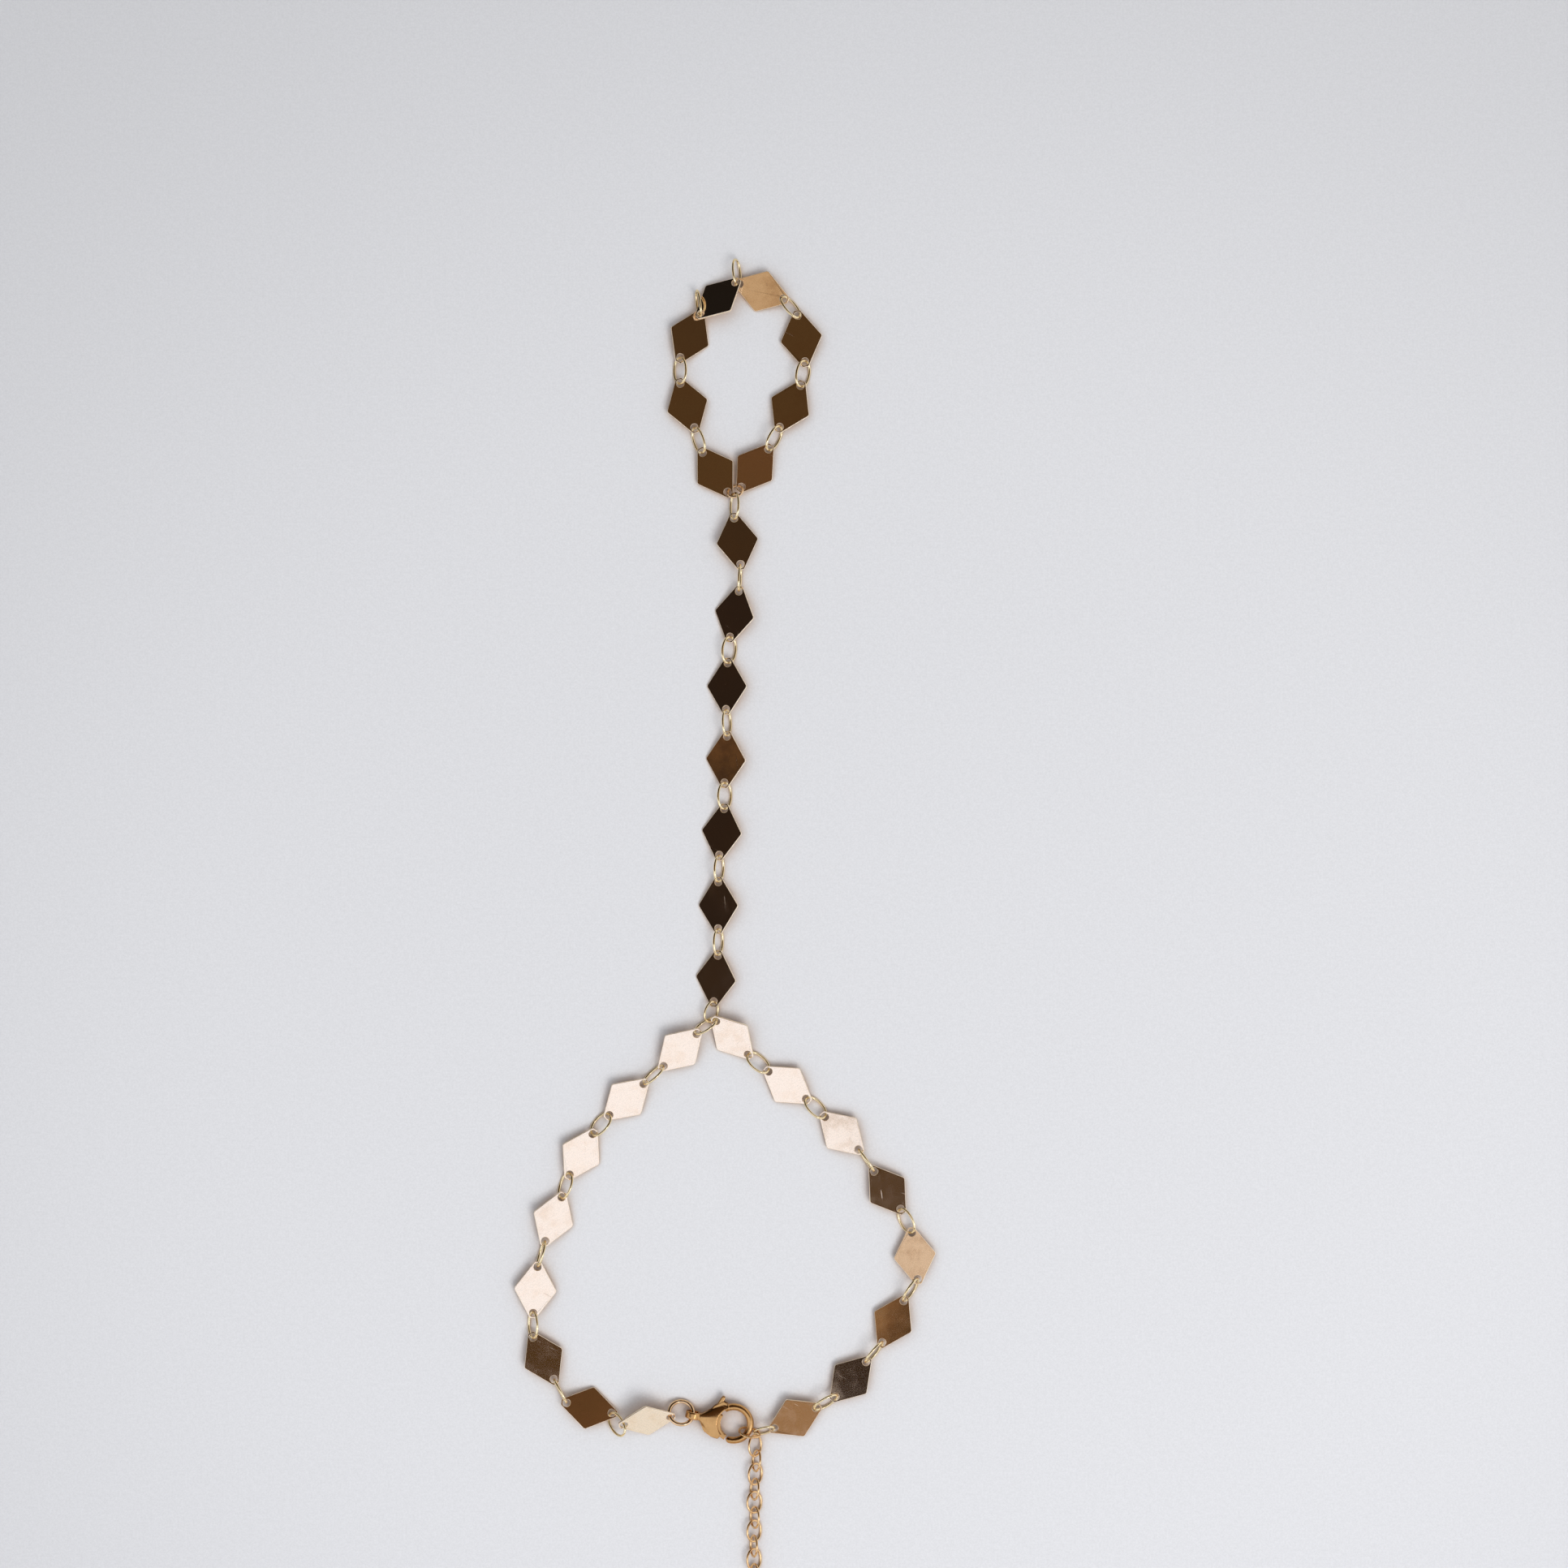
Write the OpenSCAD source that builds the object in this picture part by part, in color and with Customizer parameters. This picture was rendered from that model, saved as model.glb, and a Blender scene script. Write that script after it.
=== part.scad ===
// Hand chain bracelet: a finger loop, a strand over the back of the hand and a wrist loop of thin
// diamond plates, joined by oval links, with a lobster clasp and an extender chain. It lies flat.

/* [Plates] */
// Length of a plate from tip to tip
plate_len = 7.0; // [6:0.1:9]
// Width of a plate from corner to corner
plate_w = 5.1; // [4:0.1:6]
// Thickness of a plate
plate_t = 0.25; // [0.2:0.05:0.4]
// Width of a plate's blunt tip
tip_w = 0.9; // [0.7:0.05:1.2]
// Bevel at the corners of a plate's outline
corner_cut = 0.12; // [0.05:0.01:0.3]
// Diameter of the hole at each tip
hole_d = 0.95; // [0.85:0.05:1.2]
// Metal between a hole's edge and the tip
hole_edge = 0.16; // [0.12:0.01:0.3]

/* [Links] */
// Outer length of an oval link
link_len = 3.5; // [3.2:0.05:4.5]
// Outer width of an oval link
link_w = 2.4; // [2.2:0.05:3]
// Wire thickness of the oval links
link_wire = 0.3; // [0.24:0.01:0.36]
// Outer diameter of the ring between the finger loop and the strand
junction_d = 2.2; // [2.1:0.05:3]
// Wire thickness of that ring
junction_wire = 0.3; // [0.24:0.01:0.36]

/* [Extender] */
// Number of links in the extender chain
ext_links = 11; // [3:1:14]
// Outer length of an extender link
ext_len = 2.85; // [2.6:0.05:3.4]
// Outer width of an extender link
ext_w = 2.15; // [1.95:0.05:2.6]
// Wire thickness of the extender links
ext_wire = 0.27; // [0.2:0.01:0.32]

/* [Clasp] */
// Radius of the opening inside the hook
hook_r = 1.62; // [1.5:0.02:2]
// Thickness of the hook
hook_t = 0.88; // [0.7:0.02:1]
// Thickness of the clasp's body
clasp_t = 1.3; // [1.2:0.05:1.6]
// Distance from the middle of the opening to the tail eye
clasp_reach = 5.1; // [4.8:0.1:6]
// Outer diameter of the tail eye
eye_d = 1.9; // [1.85:0.05:2.2]
// Bore of the tail eye
eye_bore = 1.3; // [1.1:0.05:1.35]
// Length of the tail eye across the clasp
eye_w = 0.9; // [0.8:0.05:1.1]
// Thickness of the lever
lever_t = 0.56; // [0.4:0.02:0.7]
// Width of the lever's arm
lever_w = 0.7; // [0.5:0.02:0.8]
// Diameter of the pivot pin
pin_d = 0.5; // [0.4:0.05:0.6]
// Clearance around the lever
lever_gap = 0.08; // [0.05:0.01:0.12]
// Outer diameter of the jump ring
jump_d = 3.45; // [3.2:0.05:4]
// Wire thickness of the jump ring
jump_wire = 0.5; // [0.4:0.02:0.54]

/* [Fit] */
// Clearance between two links that hook each other
link_gap = 0.1; // [0.08:0.01:0.15]
// Height of the lowest metal above the floor
floor_gap = 0; // [0:0.01:0.05]

/* [Hidden] */

// Distance between a plate's two holes
span = plate_len - 2*hole_edge - hole_d;

// Half length, half width and wire radius of each kind of link, along the wire's middle
LINK = [(link_len - link_wire)/2, (link_w - link_wire)/2, link_wire/2];
RING = [(junction_d - junction_wire)/2, (junction_d - junction_wire)/2, junction_wire/2];
EXT = [(ext_len - ext_wire)/2, (ext_w - ext_wire)/2, ext_wire/2];
JUMP = [(jump_d - jump_wire)/2, (jump_d - jump_wire)/2, jump_wire/2];

// Headings are degrees counter-clockwise from +X. A positive roll or lean raises the left side.
// A plate's row: heading, roll.
// A link's row: heading, lean, oval angle of the first hole, oval angle of the second hole,
// share of the reach between them, lift as a share of the link's width, pitch.

// The finger loop, counter-clockwise from the junction ring
finger_plates = [[55, 8], [64, -6], [99, -8], [160, -14], [221, 28], [245, -15], [288, -4], [303, 5]];
finger_links = [
    [63, 54, 180, 0, 0.94],
    [80, 42, 180, 0, 0.94],
    [130, 50, 180, 0, 0.85],
    [275, -66, 34, -34, 1],
    [278, 78, 30, -30, 1],
    [270, 45, 180, 0, 1],
    [288, 54, 180, 0, 1]
];
// The junction ring, from the last finger plate to the first
junction = [20, -42, 160, 20, 1];
// Where the strand hooks the junction ring: an angle of the ring and a share of its hole
junction_hook = [256, 1];

// The strand, from the junction ring down to the bridge link
hand_first = [-93, 62, 180, 0, 0.92, 0.15];
hand_plates = [[278, -8], [259, 20], [268, 20], [267, 20], [264, 20], [270, 20], [265, 20]];
hand_links = [
    [267, -85, 180, 0, 1.03],
    [265, -40, 180, 0, 1],
    [272, -64, 180, 0, 1.03],
    [269, -42, 180, 0, 1],
    [268, -60, 180, 0, 1.03],
    [269, -60, 180, 0, 1.03]
];
hand_last = [255, -36, 180, 0, 1.02];
// The bridge link, from the left wrist plate to the right one, and where the strand hooks it
bridge = [33, -62, 200, -20, 0.96, 0.1];
bridge_hook = 60;

// The left side of the wrist loop, from the bridge link to the clasp
left_plates = [[225, -10], [223, -10], [241, -12], [250, -12], [265, -4], [297, -4], [346, -12], [368, 48]];
left_links = [
    [222, 68, 180, 0, 1.03],
    [229, 40, 180, 0, 0.97],
    [251, 49, 180, 0, 0.92],
    [254, 77, 180, 0, 1.03],
    [270, 56, 180, 0, 0.94],
    [298, 80, 180, 0, 1.03],
    [310, 30, 160, 60, 1, 0.05, 30]
];
// The right side of the wrist loop, from the bridge link to the clasp
right_plates = [[313, 22], [324, 8], [316, 6], [305, -3], [277, 0], [242, 12], [228, 6], [205, -8]];
right_links = [
    [320, -40, 180, 0, 1.03],
    [316, -42, 180, 0, 1],
    [305, 83, 180, 0, 1.03],
    [295, 43, 180, 0, 1],
    [237, -64, 180, 0, 1],
    [230, -68, 180, 0, 0.97],
    [210, -55, 180, 0, 0.85]
];

// The jump ring: heading, lean, angles of the plate and of the eye, share, lift, pitch
jump = [0, -28, 198, -12, 1, 0, -8];
// Heading of the clasp from its eye to its hook
clasp_head = -12;
// The clasp link: heading, lean, and its middle as shares of the hook's radius from the opening
clasp_link_row = [-12, -65, 180, 0, 1, 0.02];
clasp_link_at = [1.32, -0.41];
// The end link, from the last right plate to the clasp link
end_row = [195, -58, 180, -14, 1, 0, -5];
// Where the end link and the extender hook the clasp link, as angles of that link
end_hook = 49;
ext_hook = -41;
// The extender's links: heading, lean, oval angles where it hooks the last link and the next one
ext_rows = [
    [270, -38, 183, 0, 1, 0.19],
    [262, 62, 225, -45],
    [268, -32, 200, -20],
    [264, 60, 225, -45],
    [272, -26, 200, -20],
    [268, 58, 225, -45],
    [270, -30, 200, -20],
    [268, 65, 225, -45],
    [272, -30, 200, -20],
    [266, 60, 225, -45],
    [270, -28, 200, -20],
    [268, 62, 225, -45],
    [272, -30, 200, -20],
    [268, 60, 225, -45]
];

// Where the junction ring's middle lies before the whole is centred
start_at = [90.6, -60.6];

// A row's column, or what stands for it
function col(r, i, d) = len(r) > i ? r[i] : d;
function heading(r) = r[0];
function lean(r) = r[1];
function turn_in(r) = col(r, 2, 180);
function turn_out(r) = col(r, 3, 0);
function reach(r) = col(r, 4, 1);
function lift(r) = col(r, 5, 0);
function pitch(r) = col(r, 6, 0);
function turned(r, a) = [for (i = [0:len(r) - 1]) i == 0 ? r[0] + a : r[i]];

function flat(v) = [v.x, v.y];
function level(v, z) = [v.x, v.y, z];
function spun(v, a) = [v.x*cos(a) - v.y*sin(a), v.x*sin(a) + v.y*cos(a)];
function across(v) = [-v.y, v.x];
function total(v, i = 0) = i == len(v) - 1 ? v[i] : v[i] + total(v, i + 1);
function unit(v) = v/norm(v);

// A link's own axes: along it, across it and out of its plane
function along(r) = [cos(pitch(r))*cos(heading(r)), cos(pitch(r))*sin(heading(r)), sin(pitch(r))];
function beside(r) = [-sin(heading(r)), cos(heading(r)), 0];
function side(r) = cos(lean(r))*beside(r) + sin(lean(r))*cross(along(r), beside(r));

// A point of the wire's middle, from the link's own middle
function oval(r, k, t) = k[0]*cos(t)*along(r) + k[1]*sin(t)*side(r);
// Height of a link's middle when its lowest wire lies on the floor
function rest(r, k) = norm([k[0]*along(r).z, k[1]*side(r).z]) + k[2] + floor_gap + lift(r)*2*k[1];

// The two holes that a link joins, from its own middle
function hub(r, k) = (oval(r, k, turn_in(r)) + oval(r, k, turn_out(r)))/2;
function hole_in(r, k) = hub(r, k) + reach(r)*(oval(r, k, turn_in(r)) - hub(r, k));
function hole_out(r, k) = hub(r, k) + reach(r)*(oval(r, k, turn_out(r)) - hub(r, k));
function joint(r, k) = hole_out(r, k) - hole_in(r, k);
function high_in(r, k) = rest(r, k) + hole_in(r, k).z;
function high_out(r, k) = rest(r, k) + hole_out(r, k).z;

// A plate's run over the floor between two hole heights
function run(h, z1, z2) = sqrt(span*span - (z2 - z1)*(z2 - z1))*[cos(h), sin(h)];

// Turns that close a loop: each segment of the list v counts with the sign in s
function settle(v, s, base, turns, k) =
    k == 0 ? turns :
    let(
        w = [for (i = [0:len(v) - 1]) spun(v[i], turns[i])],
        e = base + total([for (i = [0:len(v) - 1]) s[i]*w[i]]),
        p = [for (x = w) across(x)],
        m = total([for (x = p) [x.x*x.x, x.x*x.y, x.y*x.y]]),
        d = m[0]*m[2] - m[1]*m[1],
        q = [(m[1]*e.y - m[2]*e.x)/d, (m[1]*e.x - m[0]*e.y)/d],
        more = [for (i = [0:len(v) - 1]) turns[i] + s[i]*(p[i]*q)*180/PI]
    )
    settle(v, s, base, more, k - 1);

// The segments of a chain of plates: plate, link, plate and so on
function chain(plates, links, z1, z2) = [
    for (i = [0:len(plates) - 1])
        each concat(
            [run(
                plates[i][0],
                i == 0 ? z1 : high_out(links[i - 1], LINK),
                i < len(links) ? high_in(links[i], LINK) : z2
            )],
            i < len(links) ? [flat(joint(links[i], LINK))] : []
        )
];
function placed(at, v) = [for (i = [0:len(v)]) at + (i == 0 ? [0, 0] : total([for (j = [0:i - 1]) v[j]]))];
function spin_all(v, turns) = [for (i = [0:len(v) - 1]) spun(v[i], turns[i])];
function zeros(n) = [for (i = [1:n]) 0];
function ones(n, s = 1) = [for (i = [1:n]) s];

// The finger loop
finger_raw = chain(finger_plates, finger_links, high_out(junction, RING), high_in(junction, RING));
finger_turns = settle(finger_raw, ones(15), flat(joint(junction, RING)), zeros(15), 4);
finger_at = placed(start_at + flat(hole_out(junction, RING)), spin_all(finger_raw, finger_turns));

// The strand hangs from the junction ring
ring_in = 1 - (RING[2] + LINK[2] + link_gap)/RING[0];
hand_start = start_at + flat(junction_hook[1]*ring_in*oval(junction, RING, junction_hook[0]));
hand_top = hand_start + flat(joint(hand_first, LINK));
hand_raw = chain(hand_plates, hand_links, high_out(hand_first, LINK), high_in(hand_last, EXT));
hand_at = placed(hand_top, hand_raw);
hand_end = hand_at[13] - flat(hole_in(hand_last, EXT));

// The bridge link hooks the strand's last link
bridge_at = hand_end + flat(oval(hand_last, EXT, turn_out(hand_last)))
    - (LINK[2] + EXT[2] + link_gap)*flat(along(hand_last)) - flat(oval(bridge, LINK, bridge_hook));

// The clasp, from the jump ring to the end link
clasp_z = eye_d/2 + floor_gap + 0.07;
jump_z = clasp_z - oval(jump, JUMP, turn_out(jump)).z;
clasp_go = clasp_reach*[cos(clasp_head), sin(clasp_head)];
link_go = hook_r*spun(clasp_link_at, clasp_head);
end_go = flat(oval(clasp_link_row, EXT, end_hook)) + (2*EXT[2] + link_gap)*flat(along(end_row));
clasp_vector = -flat(oval(jump, JUMP, turn_in(jump))) + flat(oval(jump, JUMP, turn_out(jump)))
    + clasp_go + link_go + end_go - flat(joint(end_row, EXT));

// The wrist loop closes through the clasp
left_raw = chain(left_plates, left_links, high_in(bridge, LINK), jump_z + oval(jump, JUMP, turn_in(jump)).z);
right_raw = chain(right_plates, right_links, high_out(bridge, LINK), high_in(end_row, EXT));
wrist_turns = settle(
    concat(left_raw, right_raw),
    concat(ones(15, -1), ones(15)),
    flat(joint(bridge, LINK)) - clasp_vector,
    zeros(30),
    4
);
left_at = placed(
    bridge_at + flat(hole_in(bridge, LINK)),
    spin_all(left_raw, [for (i = [0:14]) wrist_turns[i]])
);
right_at = placed(
    bridge_at + flat(hole_out(bridge, LINK)),
    spin_all(right_raw, [for (i = [15:29]) wrist_turns[i]])
);

// Middles of the clasp's pieces
jump_at = left_at[15] - flat(oval(jump, JUMP, turn_in(jump)));
eye_at = jump_at + flat(oval(jump, JUMP, turn_out(jump)));
hook_at = eye_at + clasp_go;
clasp_link_c = level(hook_at + link_go, clasp_z + lift(clasp_link_row)*2*EXT[1]);
end_at = right_at[15] - flat(hole_in(end_row, EXT));

// The extender: each link hooks the one before it
hook_share = 1 - (2*EXT[2] + link_gap)/EXT[0];
ext_first = flat(clasp_link_c) + flat(hook_share*oval(clasp_link_row, EXT, ext_hook))
    - flat(oval(ext_rows[0], EXT, turn_in(ext_rows[0])));
function ext_mid(i) =
    i == 0 ? ext_first :
    ext_mid(i - 1) + flat(oval(ext_rows[i - 1], EXT, turn_out(ext_rows[i - 1])))
    - (2*EXT[2] + link_gap)*flat(along(ext_rows[i - 1]))
    - flat(oval(ext_rows[i], EXT, turn_in(ext_rows[i])));

// Corners of the whole, so that it can be centred
top_link = turned(finger_links[3], finger_turns[7]);
low = [min([for (p = left_at) p.x]) - plate_w/2, ext_mid(ext_links - 1).y - ext_len/2];
high = [max([for (p = right_at) p.x]) + plate_w/2, (finger_at[7] - flat(hole_in(top_link, LINK))).y + link_len/2];
middle = (low + high)/2;

// Roll of a plate, which stops where its corner meets the floor
function stopped(roll, z) =
    sign(roll)*min(abs(roll), asin(min(1, (z - plate_t/2 - floor_gap)/(plate_w/2))));

module plate() {
    q = [
        [plate_len/2, tip_w/2 - corner_cut],
        [plate_len/2 - corner_cut, tip_w/2],
        [corner_cut, plate_w/2]
    ];
    outline = concat(
        q,
        [for (i = [2:-1:0]) [-q[i].x, q[i].y]],
        [for (p = q) [-p.x, -p.y]],
        [for (i = [2:-1:0]) [q[i].x, -q[i].y]]
    );
    difference() {
        linear_extrude(plate_t, center = true)
            polygon(outline);
        for (s = [-1, 1])
            translate([s*span/2, 0, 0])
                cylinder(h = 3*plate_t, d = hole_d, center = true, $fn = 32);
    }
}

// A plate between two hole centres
module plate_between(a, b, roll) {
    d = b - a;
    translate((a + b)/2)
        rotate([stopped(roll, (a.z + b.z)/2), -asin(d.z/norm(d)), atan2(d.y, d.x)])
            plate();
}

// A closed oval of wire in the plane of a row's axes
module wire_oval(c, r, k, rings = 16, sides = 6) {
    out = cross(along(r), side(r));
    pts = [
        for (i = [0:rings - 1])
            let(
                t = 360*i/rings,
                n = unit(k[1]*cos(t)*along(r) + k[0]*sin(t)*side(r))
            )
            for (j = [0:sides - 1])
                c + oval(r, k, t) + k[2]*(cos(360*j/sides)*n + sin(360*j/sides)*out)
    ];
    faces = [
        for (i = [0:rings - 1], j = [0:sides - 1])
            let(i2 = (i + 1)%rings, j2 = (j + 1)%sides)
            each [
                [i*sides + j, i*sides + j2, i2*sides + j],
                [i*sides + j2, i2*sides + j2, i2*sides + j]
            ]
    ];
    polyhedron(pts, faces);
}

// One plate of a chain, by its number
module chain_plate(at, plates, links, turns, z1, z2, i) {
    a = level(at[2*i], i == 0 ? z1 : high_out(links[i - 1], LINK));
    b = level(at[2*i + 1], i < len(links) ? high_in(links[i], LINK) : z2);
    plate_between(a, b, plates[i][1]);
}

// The links of a chain
module chain_links(at, links, turns) {
    for (i = [0:len(links) - 1]) {
        r = turned(links[i], turns[2*i + 1]);
        wire_oval(level(at[2*i + 1] - flat(hole_in(r, LINK)), rest(r, LINK)), r, LINK);
    }
}

module centred() {
    translate([-middle.x, -middle.y, 0])
        children();
}

module finger_plate(i) {
    color("#4a2e15")
        centred()
            chain_plate(
                finger_at, finger_plates, finger_links, finger_turns,
                high_out(junction, RING), high_in(junction, RING), i
            );
}

module hand_plate(i) {
    color("#2b1c10")
        centred()
            chain_plate(
                hand_at, hand_plates, hand_links, zeros(13),
                high_out(hand_first, LINK), high_in(hand_last, EXT), i
            );
}

module wrist_plate_left(i) {
    color(i < 5 || i == 7 ? "#f0dcc4" : "#5a3c20")
        centred()
            chain_plate(
                left_at, left_plates, left_links, wrist_turns,
                high_in(bridge, LINK), jump_z + oval(jump, JUMP, turn_in(jump)).z, i
            );
}

module wrist_plate_right(i) {
    color(i < 3 || i == 4 ? "#f3dcc5" : "#5f3c22")
        centred()
            chain_plate(
                right_at, right_plates, right_links, wrist_turns,
                high_out(bridge, LINK), high_in(end_row, EXT), i
            );
}

module finger_loop_links() {
    color("#d9a066")
        centred()
            chain_links(finger_at, finger_links, finger_turns);
}

module junction_ring() {
    color("#d8a58a")
        centred()
            wire_oval(level(start_at, rest(junction, RING)), junction, RING);
}

module hand_strand_links() {
    color("#d9a066")
        centred() {
            wire_oval(
                level(hand_start - flat(hole_in(hand_first, LINK)), rest(hand_first, LINK)),
                hand_first,
                LINK
            );
            chain_links(hand_at, hand_links, zeros(13));
            wire_oval(level(hand_end, rest(hand_last, EXT)), hand_last, EXT);
        }
}

module bridge_link() {
    color("#d9a066")
        centred()
            wire_oval(level(bridge_at, rest(bridge, LINK)), bridge, LINK);
}

module wrist_links_left() {
    color("#d9a066")
        centred()
            chain_links(left_at, left_links, wrist_turns);
}

module wrist_links_right() {
    color("#d9a066")
        centred()
            chain_links(right_at, right_links, [for (i = [15:29]) wrist_turns[i]]);
}

module clasp_jump_ring() {
    color("#d9a066")
        centred()
            wire_oval(level(jump_at, jump_z), jump, JUMP, 24, 8);
}

// The clasp's own frame: its middle is the opening's, and +X points away from the eye
module clasp_frame() {
    centred()
        translate(level(hook_at, clasp_z))
            rotate([0, 0, clasp_head])
                children();
}

// The clasp is drawn around the middle of its opening
hook_out = hook_r + hook_t;
hook_mid = hook_r + hook_t/2;
// Angles around the opening: the hook's tip and root, and the lever's two ends
hook_tip = -94;
hook_root = 134;
lever_top = 154;
lever_end = 250;
// The lever's arm and how far the cheeks reach over it
lever_out = hook_r + lever_w;
cheek_r = hook_r + 0.55*lever_w;
boss_d = 2*pin_d;
pivot_at = [-1.68*hook_r, 0.2*hook_r];
nub_at = [-1.16*hook_r, 1.76*hook_r];
nub_d = 0.3*hook_r;
// Where the lever's slot begins
slot_from = pivot_at.x - boss_d/2 - 2*lever_gap;

// A slice of pie around the opening
module slice(r, a1, a2) {
    polygon(concat(
        [[0, 0]],
        [for (i = [0:12]) let(a = a1 + (a2 - a1)*i/12) r*[cos(a), sin(a)]]
    ));
}

module body_outline() {
    neck = -clasp_reach + eye_d/2 - 0.1;
    polygon([
        [neck, 0.38*eye_w],
        [-1.88*hook_r, 0.48*hook_out],
        [-1.7*hook_r, 0.68*hook_out],
        [-1.1*hook_r, 0.98*hook_out],
        [-0.7*hook_r, 0.9*hook_out],
        [-0.5*hook_r, 0.5*hook_out],
        [-0.5*hook_r, -0.5*hook_out],
        [-0.98*hook_r, -0.88*hook_out],
        [-1.5*hook_r, -0.84*hook_out],
        [-2.1*hook_r, -0.66*hook_out],
        [neck, -0.38*eye_w]
    ]);
}

module lever_outline() {
    difference() {
        intersection() {
            circle(r = lever_out, $fn = 72);
            slice(2*lever_out, lever_top, lever_end);
        }
        circle(r = hook_r, $fn = 72);
    }
    hull() {
        translate(pivot_at)
            circle(d = boss_d, $fn = 32);
        translate(0.98*lever_out*[cos(190), sin(190)])
            circle(d = 0.1*boss_d, $fn = 12);
    }
    hull() {
        translate(pivot_at)
            circle(d = 0.7*boss_d, $fn = 32);
        translate(nub_at)
            circle(d = nub_d, $fn = 32);
    }
}

module clasp_body() {
    color("#c98f56")
        clasp_frame() {
            difference() {
                linear_extrude(clasp_t, center = true)
                    body_outline();
                cylinder(h = 2*clasp_t, r = cheek_r, center = true, $fn = 72);
                linear_extrude(lever_t + 2*lever_gap, center = true)
                    difference() {
                        translate([slot_from, -2*hook_out])
                            square([2*hook_out, 4*hook_out]);
                        slice(hook_out, 80, hook_root + 4);
                    }
            }
            rotate_extrude(angle = hook_root - hook_tip, start = hook_tip, $fn = 72)
                translate([hook_mid, 0])
                    circle(d = hook_t, $fn = 32);
            translate(hook_mid*[cos(hook_tip), sin(hook_tip), 0])
                sphere(d = 0.96*hook_t, $fn = 48);
            translate([pivot_at.x, pivot_at.y, 0])
                cylinder(h = clasp_t, d = pin_d, center = true, $fn = 32);
            difference() {
                translate([-clasp_reach, 0, 0])
                    rotate([90, 0, 0])
                        cylinder(h = eye_w, d = eye_d, center = true, $fn = 48);
                translate([-clasp_reach, 0, 0])
                    rotate([90, 0, 0])
                        cylinder(h = 2*eye_w, d = eye_bore, center = true, $fn = 48);
            }
        }
}

module clasp_lever() {
    color("#e2b07a")
        clasp_frame()
            difference() {
                linear_extrude(lever_t, center = true)
                    lever_outline();
                translate([pivot_at.x, pivot_at.y, 0])
                    cylinder(h = 2*lever_t, d = pin_d + 2*lever_gap, center = true, $fn = 32);
            }
}

module clasp_link() {
    color("#d9a066")
        centred()
            wire_oval(clasp_link_c, clasp_link_row, EXT);
}

module end_link() {
    color("#d9a066")
        centred()
            wire_oval(level(end_at, rest(end_row, EXT)), end_row, EXT);
}

module extender_chain() {
    color("#d9a066")
        centred()
            for (i = [0:ext_links - 1])
                wire_oval(level(ext_mid(i), rest(ext_rows[i], EXT)), ext_rows[i], EXT);
}

for (i = [0:7]) {
    finger_plate(i);
    wrist_plate_left(i);
    wrist_plate_right(i);
}
for (i = [0:6]) {
    hand_plate(i);
}
finger_loop_links();
junction_ring();
hand_strand_links();
bridge_link();
wrist_links_left();
wrist_links_right();
clasp_jump_ring();
clasp_body();
clasp_lever();
clasp_link();
end_link();
extender_chain();
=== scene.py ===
"""Dresses the hand chain bracelet: bevelled plates, round wire links, a cast clasp, all in gold."""

import math

import bmesh
import bpy
from mathutils import Matrix, Vector


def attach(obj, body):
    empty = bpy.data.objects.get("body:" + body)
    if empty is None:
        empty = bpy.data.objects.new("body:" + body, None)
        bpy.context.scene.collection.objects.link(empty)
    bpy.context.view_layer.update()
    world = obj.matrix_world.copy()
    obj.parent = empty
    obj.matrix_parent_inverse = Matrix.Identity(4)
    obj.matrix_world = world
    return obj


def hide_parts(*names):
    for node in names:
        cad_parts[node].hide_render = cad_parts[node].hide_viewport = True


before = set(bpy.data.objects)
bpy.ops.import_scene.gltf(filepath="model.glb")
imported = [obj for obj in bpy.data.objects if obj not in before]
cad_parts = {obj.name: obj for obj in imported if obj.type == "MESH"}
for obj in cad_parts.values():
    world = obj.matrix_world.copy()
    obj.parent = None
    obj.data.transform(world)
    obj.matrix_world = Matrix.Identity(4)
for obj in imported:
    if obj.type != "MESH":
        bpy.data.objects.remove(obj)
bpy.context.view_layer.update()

bl_info = {
    "name": "Hand chain bracelet",
    "version": (1, 0, 0),
    "blender": (4, 5, 0),
    "location": "3D View > Sidebar > Bracelet",
    "description": "Plates, links and clasp of a hand chain bracelet, laid on a pale floor",
    "category": "Object",
}

MM = 0.001

# The CAD nodes of each kind, and the body that all but the lever ride on
ROOT = "bracelet"
PLATES = sorted(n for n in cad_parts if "_plate_" in n)
WIRE_NODES = [
    "finger_loop_links", "hand_strand_links", "bridge_link", "wrist_links_left",
    "wrist_links_right", "clasp_link", "end_link", "extender_chain",
]
REDDER_NODES = ("extender_chain", "clasp_link")
RING_NODES = ["junction_ring", "clasp_jump_ring"]
# The ring whose wire is as thick as its solid's
TRUE_RING = "clasp_jump_ring"
# Plates that lie a touch less tilted than the solids, in degrees
ROLLS = {"wrist_plate_right_6": 1.5}

# How the meshes are made: merging distance, angles in degrees, and the bevel's steps
WELD = 0.001 * MM
FLAT_TURN = 1.0
BEVEL_TURN = 38
BEVEL_STEPS = 2
# Faces that lean less than this cosine allows count as a plate's flat sides
FLAT_COSINE = 0.995
# How far one smoothing goes, and the size of the lever's faces against those of the body
SOFTENING, LEVER_GRAIN = 0.5, 0.75

# The clasp body's dome, by distance from the eye towards the opening: where the body widens and
# over what length, how far aside its ridge ends, and how wide the dome is to either side of the
# ridge, at the neck and what the flare adds. It begins and ends softly between these distances.
NECK, FLARE = 0.9 * MM, 2.6 * MM
RIDGE = 0.35 * MM
DOME_WIDTH, UPPER_FLARE, LOWER_FLARE = 0.6 * MM, 1.1 * MM, 2.7 * MM
DOME_BEGINS, DOME_ENDS = (0.5 * MM, 1.6 * MM), (3.7 * MM, 4.6 * MM)
# The least share of its height that the dome's foot keeps
DOME_FOOT = 0.04

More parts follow.
